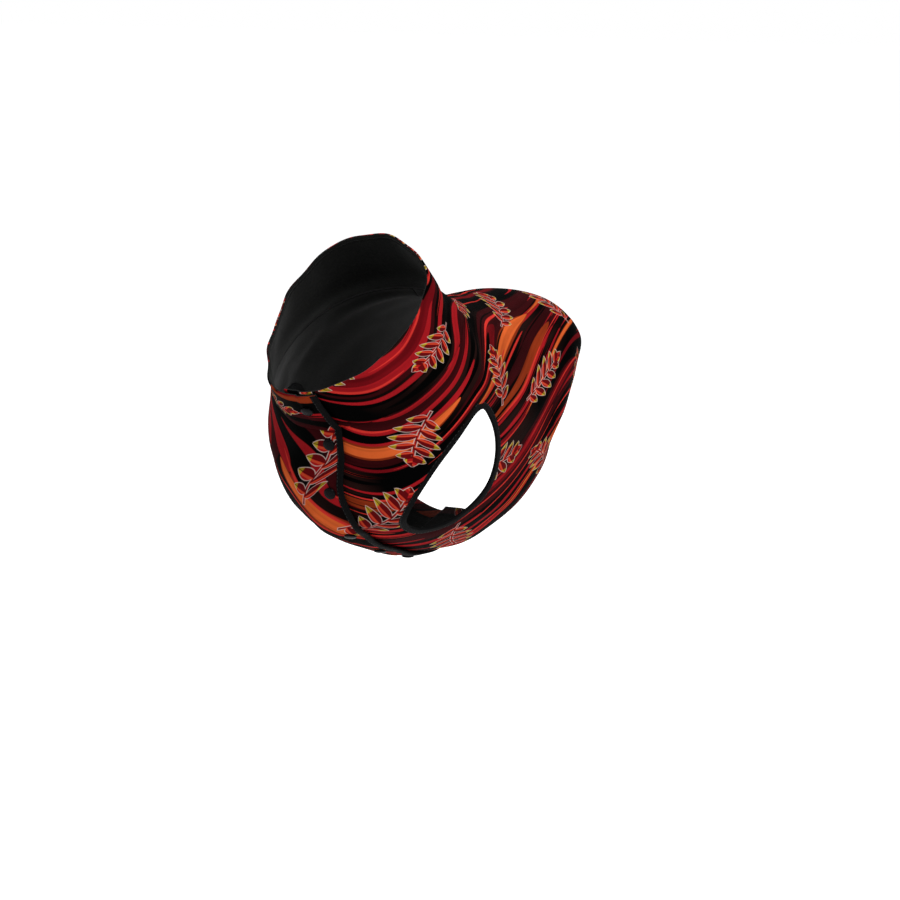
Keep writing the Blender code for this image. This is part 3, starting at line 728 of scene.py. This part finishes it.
# ------ materials
class Recipe:
    """A material with short words for its nodes."""

    def __init__(self, name, **sockets):
        self.made = bpy.data.materials.new(name)
        self.made.use_nodes = True
        self.tree = self.made.node_tree
        self.shader = self.tree.nodes["Principled BSDF"]
        for socket, value in sockets.items():
            self.shader.inputs[socket.replace("_", " ")].default_value = value

    def node(self, kind, **settings):
        node = self.tree.nodes.new(kind)
        for key, value in settings.items():
            setattr(node, key, value)
        return node

    def put(self, socket, value):
        if isinstance(value, bpy.types.NodeSocket):
            self.tree.links.new(value, socket)
        elif value is not None:
            socket.default_value = value

    def maths(self, operation, a, b=None, c=None, clamp=False):
        node = self.node("ShaderNodeMath", operation=operation, use_clamp=clamp)
        for socket, value in zip(node.inputs, (a, b, c)):
            self.put(socket, value)
        return node.outputs[0]

    def add(self, a, b):
        return self.maths("ADD", a, b)

    def less(self, a, b):
        return self.maths("SUBTRACT", a, b)

    def times(self, a, b):
        return self.maths("MULTIPLY", a, b)

    def clamped(self, a):
        return self.maths("ADD", a, 0.0, clamp=True)

    def over(self, a, level, soft):
        """0 below the level and 1 above it, with a soft edge that many units wide."""
        return self.maths("MULTIPLY_ADD", self.less(a, level), 1.0 / soft, 0.5, clamp=True)

    def leaf_shape(self, way):
        """Half width of a leaf along its way from 0 to 1, fullest before the middle."""
        return self.maths("SINE", self.times(self.maths("POWER", way, 0.8), math.pi))

    def flat_place(self):
        uv = self.node("ShaderNodeUVMap", uv_map="cloth")
        apart = self.node("ShaderNodeSeparateXYZ")
        self.put(apart.inputs[0], uv.outputs[0])
        return apart.outputs[0], apart.outputs[1]

    def pair(self, x, y):
        node = self.node("ShaderNodeCombineXYZ")
        self.put(node.inputs[0], x)
        self.put(node.inputs[1], y)
        return node.outputs[0]

    def noise(self, vector, scale, detail=2.0, roughness=0.5):
        node = self.node("ShaderNodeTexNoise", noise_dimensions="2D")
        self.put(node.inputs["Vector"], vector)
        node.inputs["Scale"].default_value = scale
        node.inputs["Detail"].default_value = detail
        node.inputs["Roughness"].default_value = roughness
        return node.outputs[0]

    def grain(self, scale, detail=2.0):
        """Noise in the object's own space, for pieces without flat places."""
        node = self.node("ShaderNodeTexNoise")
        self.put(node.inputs["Vector"], self.node("ShaderNodeTexCoord").outputs["Object"])
        node.inputs["Scale"].default_value = scale
        node.inputs["Detail"].default_value = detail
        return node.outputs[0]

    def chance(self, vector):
        node = self.node("ShaderNodeTexWhiteNoise", noise_dimensions="2D")
        self.put(node.inputs["Vector"], vector)
        apart = self.node("ShaderNodeSeparateColor")
        self.put(apart.inputs[0], node.outputs["Color"])
        return apart.outputs[0], apart.outputs[1], apart.outputs[2]

    def paint(self, under, over, share):
        node = self.node("ShaderNodeMix", data_type="RGBA")
        self.put(node.inputs[0], share)
        self.put(node.inputs[6], under)
        self.put(node.inputs[7], over)
        return node.outputs[2]

    def bump(self, height, distance, strength=1.0):
        node = self.node("ShaderNodeBump")
        node.inputs["Strength"].default_value = strength
        node.inputs["Distance"].default_value = distance
        self.put(node.inputs["Height"], height)
        self.put(self.shader.inputs["Normal"], node.outputs[0])

    def colour(self, value):
        self.put(self.shader.inputs["Base Color"], value)


def rgb(red, green, blue):
    """A screen colour out of 255 as the shader's linear one."""
    def linear(value):
        value /= 255
        return value / 12.92 if value <= 0.04045 else ((value + 0.055) / 1.055) ** 2.4
    return (linear(red), linear(green), linear(blue), 1.0)


INK_BLACK = rgb(2, 2, 2)
DARK_BROWN = rgb(36, 18, 16)
MAROON = rgb(58, 11, 15)
DEEP_RED = rgb(118, 14, 22)
CRIMSON = rgb(172, 27, 34)
BRIGHT_RED = rgb(224, 56, 48)
ORANGE = rgb(232, 104, 48)
BURNT = rgb(150, 54, 24)
LEAF_RED = rgb(180, 26, 30)
LEAF_SHADE = rgb(104, 12, 17)
LEAF_LIGHT = rgb(222, 82, 50)
LEAF_GOLD = rgb(200, 172, 46)
PALE_LINE = rgb(220, 190, 182)

# Layers of tapered ribbons, painted in this order. Widths and lengths are in metres.
Ribbon = namedtuple("Ribbon", "colour pitch length fullness presence seed")
RIBBONS = (
    (MAROON, 0.041, 0.260, 0.90, 0.72, 3.0),
    (DEEP_RED, 0.023, 0.190, 0.72, 0.50, 19.0),
    (INK_BLACK, 0.034, 0.210, 0.74, 0.42, 23.0),
    (INK_BLACK, 0.017, 0.160, 0.42, 0.45, 31.0),
    (CRIMSON, 0.0125, 0.150, 0.66, 0.42, 47.0),
    (BURNT, 0.030, 0.150, 0.48, 0.28, 61.0),
    (ORANGE, 0.030, 0.150, 0.34, 0.22, 61.0),
    (BRIGHT_RED, 0.0066, 0.120, 0.46, 0.24, 83.0),
    (INK_BLACK, 0.0090, 0.110, 0.32, 0.38, 97.0),
)

SPRIG_ACROSS, SPRIG_ALONG = 0.078, 0.086  # the cell each sprig grows in
SPRIG_LENGTH, SPRIG_REACH = 0.064, 0.0175
LEAFLET = 0.0112  # from one leaflet to the next
LEAFLET_LEAN = 0.62
SPRIG_BEND = 7.0  # most a sprig bends to either side, as metres a square metre
OUTLINE = 0.00062
SLANT = math.radians(38)  # of the ribbons against the girth
SWAY, SWAY_LENGTH = 0.021, 0.27  # their even waves
DRIFT = 0.090  # their uneven waves
SOFT_EDGE = 0.0004
NOWHERE = 0.01  # taken off a form's depth where it doesn't grow


def ribbon_layer(m, along, across, ribbon):
    """Where one layer's ribbons lie: long lens shapes, each on its own line, some left out."""
    line = m.times(across, 1 / ribbon.pitch)
    row = m.maths("FLOOR", line)
    shift, _, _ = m.chance(m.pair(row, ribbon.seed))
    run = m.add(m.times(along, 1 / ribbon.length), m.times(shift, 7.0))
    place = m.maths("FLOOR", run)
    swell, luck, _ = m.chance(m.pair(row, m.add(place, ribbon.seed + 0.5)))
    way = m.maths("FRACT", run)
    lens = m.maths("SINE", m.times(m.maths("POWER", way, 0.7), math.pi))
    lens = m.maths("POWER", m.maths("MAXIMUM", lens, 0.0), 0.7)
    widest = ribbon.fullness * ribbon.pitch / 2
    reach = m.times(m.times(lens, m.maths("MULTIPLY_ADD", swell, 0.6, 0.4)), widest)
    away = m.times(m.maths("ABSOLUTE", m.less(m.less(line, row), 0.5)), ribbon.pitch)
    there = m.maths("LESS_THAN", luck, ribbon.presence)
    return m.times(m.over(m.less(reach, away), 0.0, 0.0005), there)


def print_colour(m):
    """Tapered ribbons of reds and orange on black, with leafy sprigs over them."""
    x, y = m.flat_place()
    along = m.add(m.times(x, math.cos(SLANT)), m.times(y, math.sin(SLANT)))
    across = m.less(m.times(y, math.cos(SLANT)), m.times(x, math.sin(SLANT)))
    sway = m.maths("SINE", m.maths("MULTIPLY_ADD", along, 2 * math.pi / SWAY_LENGTH, 0.8))
    drift = m.noise(m.pair(x, y), 7.0, 0.0)
    bent = m.add(across, m.times(sway, SWAY))
    bent = m.add(bent, m.times(m.less(drift, 0.5), DRIFT))
    colour = m.paint(INK_BLACK, DARK_BROWN, m.over(m.noise(m.pair(y, x), 11.0, 1.0), 0.56, 0.22))
    for ribbon in map(Ribbon._make, RIBBONS):
        colour = m.paint(colour, ribbon.colour, ribbon_layer(m, along, bent, ribbon))
    streak = m.noise(m.pair(m.times(along, 5.0), m.times(bent, 260.0)), 1.0, 1.5)
    colour = m.paint(colour, INK_BLACK, m.maths("MULTIPLY_ADD", streak, 0.9, -0.36, clamp=True))
    return sprigs(m, x, y, colour)


def sprigs(m, x, y, colour):
    """One bent sprig in each cell of a half-drop layout, each turned its own way."""
    column = m.maths("FLOOR", m.times(x, 1 / SPRIG_ACROSS))
    drop = m.times(m.maths("MODULO", m.maths("ABSOLUTE", column), 2.0), 0.5)
    y_cell = m.add(m.times(y, 1 / SPRIG_ALONG), drop)
    row = m.maths("FLOOR", y_cell)
    p = m.times(m.less(m.less(m.times(x, 1 / SPRIG_ACROSS), column), 0.5), SPRIG_ACROSS)
    q = m.times(m.less(m.less(y_cell, row), 0.5), SPRIG_ALONG)
    turn, size, bend = m.chance(m.pair(m.add(column, 7.0), m.add(row, 3.0)))
    angle = m.times(turn, 2 * math.pi)
    cosine, sine = m.maths("COSINE", angle), m.maths("SINE", angle)
    scale = m.maths("MULTIPLY_ADD", size, 0.25, 0.95)
    a = m.times(m.add(m.times(p, cosine), m.times(q, sine)), scale)
    b = m.times(m.less(m.times(q, cosine), m.times(p, sine)), scale)
    curve = m.maths("MULTIPLY_ADD", bend, 2 * SPRIG_BEND, -SPRIG_BEND)
    b = m.add(b, m.times(m.times(a, a), curve))
    b = m.less(b, m.times(curve, SPRIG_LENGTH**2 / 14))
    out = m.maths("ABSOLUTE", b)
    lean = m.less(a, m.times(out, LEAFLET_LEAN))
    stagger = m.maths("MULTIPLY_ADD", m.maths("SIGN", b), 0.18, 0.5)
    phase = m.add(m.times(lean, 1 / LEAFLET), stagger)
    leaf = m.maths("FLOOR", phase)
    off_vein = m.less(m.less(phase, leaf), 0.5)
    root = m.maths("MULTIPLY_ADD", leaf, LEAFLET / SPRIG_LENGTH, 0.5)
    grows = m.times(m.maths("GREATER_THAN", root, 0.08), m.maths("LESS_THAN", root, 0.90))
    reach = m.leaf_shape(m.clamped(root))
    reach = m.times(m.maths("MULTIPLY_ADD", reach, 0.75, 0.25), SPRIG_REACH)
    away = m.maths("DIVIDE", out, reach)
    plump = m.leaf_shape(m.maths("MINIMUM", away, 1.0))
    width = m.less(m.times(m.maths("POWER", m.maths("MAXIMUM", plump, 0.0), 0.75), 0.39), 0.02)
    blade = m.times(m.less(width, m.maths("ABSOLUTE", off_vein)), LEAFLET)
    blade = m.less(blade, m.times(m.less(1.0, grows), NOWHERE))
    blade = m.less(blade, m.maths("MAXIMUM", m.less(out, reach), 0.0))
    tip = m.clamped(m.times(m.less(a, SPRIG_LENGTH * 0.36), 1 / (SPRIG_LENGTH * 0.22)))
    end_leaf = m.less(m.times(m.leaf_shape(tip), 0.0046), out)
    end_leaf = m.less(end_leaf, m.times(m.maths("COMPARE", tip, 0.5, 0.4999), -NOWHERE))
    stem_end = m.less(SPRIG_LENGTH * 0.46, m.maths("ABSOLUTE", m.add(a, SPRIG_LENGTH * 0.04)))
    stem = m.maths("MINIMUM", m.less(0.0008, out), stem_end)
    form = m.maths("MAXIMUM", m.maths("MAXIMUM", blade, stem), m.less(end_leaf, NOWHERE))
    colour = m.paint(colour, PALE_LINE, m.times(m.over(form, -OUTLINE, SOFT_EDGE), 0.85))
    shade = m.over(off_vein, 0.03, 0.05)
    leaf_colour = m.paint(LEAF_RED, LEAF_SHADE, shade)
    light = m.less(0.17, m.maths("ABSOLUTE", m.add(off_vein, 0.15)))
    leaf_colour = m.paint(leaf_colour, LEAF_LIGHT, m.times(m.over(light, 0.09, 0.03), 0.75))
    gold = m.times(m.over(away, 0.72, 0.06), m.less(1.0, m.times(shade, 0.4)))
    leaf_colour = m.paint(leaf_colour, LEAF_GOLD, gold)
    vein = m.over(m.less(0.035, m.maths("ABSOLUTE", off_vein)), 0.0, 0.02)
    leaf_colour = m.paint(leaf_colour, INK_BLACK, m.times(vein, 0.75))
    return m.paint(colour, leaf_colour, m.over(form, 0.0, SOFT_EDGE))


WEAVE, BACKING_WEAVE, TAPE_RIB = 0.0009, 0.0016, 0.0010  # from one thread or rib to the next


def weave(m, x, y, pitch):
    """Height of a fine plain weave."""
    warp = m.maths("SINE", m.times(x, 2 * math.pi / pitch))
    weft = m.maths("SINE", m.times(y, 2 * math.pi / pitch))
    return m.times(warp, weft)


def printed_cloth():
    m = Recipe("printed softshell", Roughness=0.62, Specular_IOR_Level=0.01)
    colour = print_colour(m)
    x, y = m.flat_place()
    cloud = m.noise(m.pair(x, y), 26.0, 3.0)
    colour = m.paint(colour, INK_BLACK, m.maths("MULTIPLY_ADD", cloud, 0.5, -0.16, clamp=True))
    m.colour(colour)
    grain = m.noise(m.pair(x, y), 900.0, 2.0)
    height = m.add(m.times(weave(m, x, y, WEAVE), 0.5), grain)
    m.bump(height, 0.00012, 0.55)
    m.put(m.shader.inputs["Roughness"], m.maths("MULTIPLY_ADD", cloud, 0.2, 0.5))
    return m.made


def brushed_black(m, x, y):
    """Colour and nap of the black inside."""
    nap = m.noise(m.pair(x, y), 420.0, 3.0, 0.6)
    cloud = m.noise(m.pair(x, y), 40.0, 2.0)
    colour = m.paint(rgb(9, 9, 9), rgb(30, 31, 29), nap)
    m.bump(m.add(nap, m.times(weave(m, x, y, BACKING_WEAVE), 0.25)), 0.0003, 0.6)
    return m.paint(colour, rgb(7, 7, 7), m.times(cloud, 0.5))


def collar_inside():
    m = Recipe("black collar lining", Roughness=0.85, Sheen_Weight=0.06, Sheen_Roughness=0.5,
               Specular_IOR_Level=0.08)
    x, y = m.flat_place()
    m.colour(brushed_black(m, x, y))
    return m.made


def body_inside():
    """Black backing, with the printed hem turned up over it."""
    m = Recipe("black backing", Roughness=0.85, Sheen_Weight=0.10, Sheen_Roughness=0.5,
               Specular_IOR_Level=0.12)
    x, y = m.flat_place()
    black = brushed_black(m, x, y)
    hem = m.over(m.less(HEM_TURN, y), 0.0, 0.0003)
    m.colour(m.paint(black, print_colour(m), hem))
    return m.made


def black_tape():
    m = Recipe("black ribbed tape", Roughness=0.62, Sheen_Weight=0.006, Sheen_Roughness=0.4,
               Specular_IOR_Level=0.04)
    x, y = m.flat_place()
    rib = m.maths("SINE", m.times(x, 2 * math.pi / TAPE_RIB))
    wear = m.noise(m.pair(x, y), 160.0, 3.0)
    # The ribs' crests are painted lighter and their troughs darker, on the same wave as the bump:
    # painted highlight and painted shade that follow the rib's relief.
    colour = m.paint(rgb(4, 4, 5), rgb(22, 23, 23), m.maths("MULTIPLY_ADD", rib, 0.25, 0.35))
    m.colour(m.paint(colour, rgb(10, 10, 11), wear))
    m.bump(m.add(m.times(rib, 0.6), wear), 0.00016, 0.6)
    return m.made


def black_thread():
    m = Recipe("black thread", Roughness=0.5, Sheen_Weight=0.1, Specular_IOR_Level=0.3)
    ply = m.grain(2500.0)
    m.colour(m.paint(rgb(12, 12, 13), rgb(40, 40, 42), ply))
    m.bump(ply, 0.0001, 0.5)
    return m.made


def snap_plastic():
    m = Recipe("dark snap plastic", Roughness=0.28, Specular_IOR_Level=0.09)
    mottle = m.grain(700.0, 3.0)
    m.colour(m.paint(rgb(2, 2, 4), rgb(9, 10, 14), mottle))
    m.put(m.shader.inputs["Roughness"], m.maths("MULTIPLY_ADD", mottle, 0.25, 0.15))
    m.bump(mottle, 0.00006, 0.4)
    return m.made


# ------ build
PRINT = printed_cloth()
BACKING = body_inside()
LINING = collar_inside()
RIBBED = black_tape()
THREAD = black_thread()
SNAP = snap_plastic()

for side, word in ((1, "left"), (-1, "right")):
    half, hole, inner = body_half("half_" + word, side)
    dress(half, "printed_cloth", PRINT, BACKING)
    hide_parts("body_" + word)
    names = ("armhole_tape_" + word, "armhole_thread_" + word)
    tape, thread = armhole_tape(*names, hole, inner, side + 2.0)
    dress(tape, "tape", RIBBED)
    dress(thread, "tape", THREAD)
    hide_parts("armhole_binding_" + word)

band, lining = collar_pieces()
dress(band, "printed_cloth", PRINT, LINING)
dress(lining, "lining", LINING)
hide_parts("collar")
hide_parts("collar_lining")
tape, thread = front_tape("front_tape", "front_thread")
dress(tape, "tape", RIBBED)
dress(thread, "tape", THREAD)
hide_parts("front_edge_binding")
for name, (u, from_edge) in SNAPS.items():
    cap = snap_cap("cap_" + name, u, from_edge)
    dress(cap, "snap_cap", SNAP)
    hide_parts(name)

# ------ floor, light and camera
# Azimuth and elevation are in degrees, from the wearer's front towards the left, and up.
AZIMUTH, ELEVATION, DISTANCE = 30, 11, 2.2
AIM = Vector((0.0420, -0.0135, -0.1237))
LENS, SENSOR = 111.8, 36
FLOOR_Z, FLOOR_SIZE = -0.42, 12
FLOOR_SEEN, FLOOR_GLOW = 0.75, 0.05  # its own light, more of it to the camera, and always
ROOM_LIGHT, WALL_LIGHT = 0.24, 1.0  # the room's strength on the jacket, and to the camera
Light = namedtuple("Light", "azimuth elevation distance size power")
LIGHTS = {
    "key": Light(70, 50, 2.2, 1.5, 34),
    "fill": Light(325, 28, 2.4, 1.8, 5),
    "top": Light(230, 57, 2.2, 1.6, 16),
}


def floor():
    bm = bmesh.new()
    bmesh.ops.create_grid(bm, x_segments=1, y_segments=1, size=FLOOR_SIZE)
    bmesh.ops.translate(bm, verts=bm.verts, vec=(0, 0, FLOOR_Z))
    ground = link_mesh("floor", bm)
    m = Recipe("pale floor", Roughness=0.9, Base_Color=rgb(246, 246, 246),
               Emission_Color=rgb(255, 255, 255))
    seen = m.node("ShaderNodeLightPath").outputs["Is Camera Ray"]
    glow = m.maths("MULTIPLY_ADD", seen, FLOOR_SEEN, FLOOR_GLOW)
    m.put(m.shader.inputs["Emission Strength"], glow)
    ground.data.materials.append(m.made)


def aimed(name, data, azimuth, elevation, distance):
    """An object for a lamp or a camera, turned to the jacket from its place around it."""
    thing = bpy.data.objects.new(name, data)
    bpy.context.scene.collection.objects.link(thing)
    a, e = math.radians(azimuth), math.radians(elevation)
    away = Vector((math.sin(a) * math.cos(e), -math.cos(a) * math.cos(e), math.sin(e)))
    thing.location = AIM + away * distance
    thing.rotation_euler = away.to_track_quat("Z", "Y").to_euler()
    return thing


def soft_light(name, light):
    data = bpy.data.lights.new(name, "AREA")
    data.shape = "DISK"
    data.size = light.size
    data.energy = light.power
    aimed(name, data, light.azimuth, light.elevation, light.distance)


def camera():
    data = bpy.data.cameras.new("photo angle")
    data.lens = LENS
    data.sensor_width = SENSOR
    bpy.context.scene.camera = aimed("photo angle", data, AZIMUTH, ELEVATION, DISTANCE)


def studio():
    """An even white room, which lights the jacket less than it shows behind it."""
    world = bpy.data.worlds.new("studio")
    bpy.context.scene.world = world
    world.use_nodes = True
    tree = world.node_tree
    room = tree.nodes["Background"]
    wall = tree.nodes.new("ShaderNodeBackground")
    for background, strength in ((room, ROOM_LIGHT), (wall, WALL_LIGHT)):
        background.inputs["Color"].default_value = (1.0, 1.0, 1.0, 1.0)
        background.inputs["Strength"].default_value = strength
    seen = tree.nodes.new("ShaderNodeLightPath")
    mix = tree.nodes.new("ShaderNodeMixShader")
    tree.links.new(seen.outputs["Is Camera Ray"], mix.inputs[0])
    tree.links.new(room.outputs[0], mix.inputs[1])
    tree.links.new(wall.outputs[0], mix.inputs[2])
    tree.links.new(mix.outputs[0], tree.nodes["World Output"].inputs[0])
    bpy.context.scene.view_settings.view_transform = "Standard"


floor()
camera()
for name, light in LIGHTS.items():
    soft_light(name, light)
studio()
